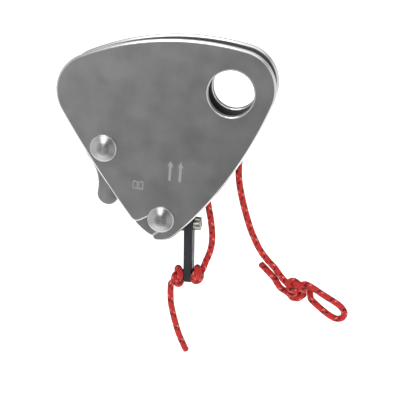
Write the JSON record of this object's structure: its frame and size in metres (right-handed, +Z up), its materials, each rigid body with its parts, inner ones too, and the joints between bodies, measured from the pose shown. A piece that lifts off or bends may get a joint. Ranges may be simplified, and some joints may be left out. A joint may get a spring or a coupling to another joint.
{
  "type": "ascender",
  "caption": "Twin-plate rope clamp with a karabiner eye, a sprung cam released by an arm on a tow cord, and a front plate that swings open to take the rope.",
  "frame": {"origin": "centre of the karabiner eye, half way through the thickness", "axes": "+Y from the front plate to the back plate along the eye's axis, +Z up as the device sits on the rope, +X to the right seen from the front"},
  "size_m": [0.1548, 0.0256, 0.1698],
  "materials": {
    "plate_steel": "fine satin stainless plate with bright chamfered edges",
    "turned_steel": "bright turned stainless steel",
    "screw_steel": "satin stainless cap screw",
    "cast_steel": "tumbled investment-cast stainless steel",
    "spring_steel": "drawn spring wire",
    "bronze": "oiled bearing bronze",
    "black_nylon": "moulded black glass-filled nylon",
    "cord_red": "braided red accessory cord with dark and pale tracer flecks"
  },
  "bodies": {
    "chassis": {"back_side_plate": "plate_steel", "upper_pivot_rivet": "turned_steel", "lower_pivot_rivet": "turned_steel", "upper_rear_washer": "turned_steel", "lower_rear_washer": "turned_steel", "upper_pivot_washer": "bronze", "anvil_block": "cast_steel", "anvil_dowel_upper": "turned_steel", "anvil_dowel_lower": "turned_steel", "cam_stop_pin": "turned_steel", "cam_spacer": "bronze", "cam_spring": "spring_steel", "cord_guide_spool": "turned_steel", "guide_spool_rivet": "turned_steel", "lift_cord": "cord_red", "tow_cord": "cord_red", "tow_knot": "cord_red", "hand_loop": "cord_red", "loop_tail": "cord_red"},
    "front_plate": {"front_side_plate": "plate_steel"},
    "cam": {"cam": "cast_steel", "cam_bush": "bronze", "release_arm": "black_nylon", "arm_screw": "screw_steel", "cord_in_arm": "cord_red", "arm_knot_left": "cord_red", "arm_knot_right": "cord_red", "cord_tail": "cord_red"}
  },
  "joints": [
    {"name": "front_plate_swing", "type": "hinge", "parent": "chassis", "child": "front_plate", "pos_m": [-0.0599, 0, -0.0339], "axis": [0, -1, 0], "range_deg": [0, 90]},
    {"name": "cam_pivot", "type": "hinge", "parent": "chassis", "child": "cam", "pos_m": [-0.029, 0, -0.0673], "axis": [0, -1, 0], "range_deg": [0, 45], "stiffness_Nm_per_rad": 0.05, "springref_deg": -45.84, "deforming": ["lift_cord", "cam_spring"]}
  ]
}
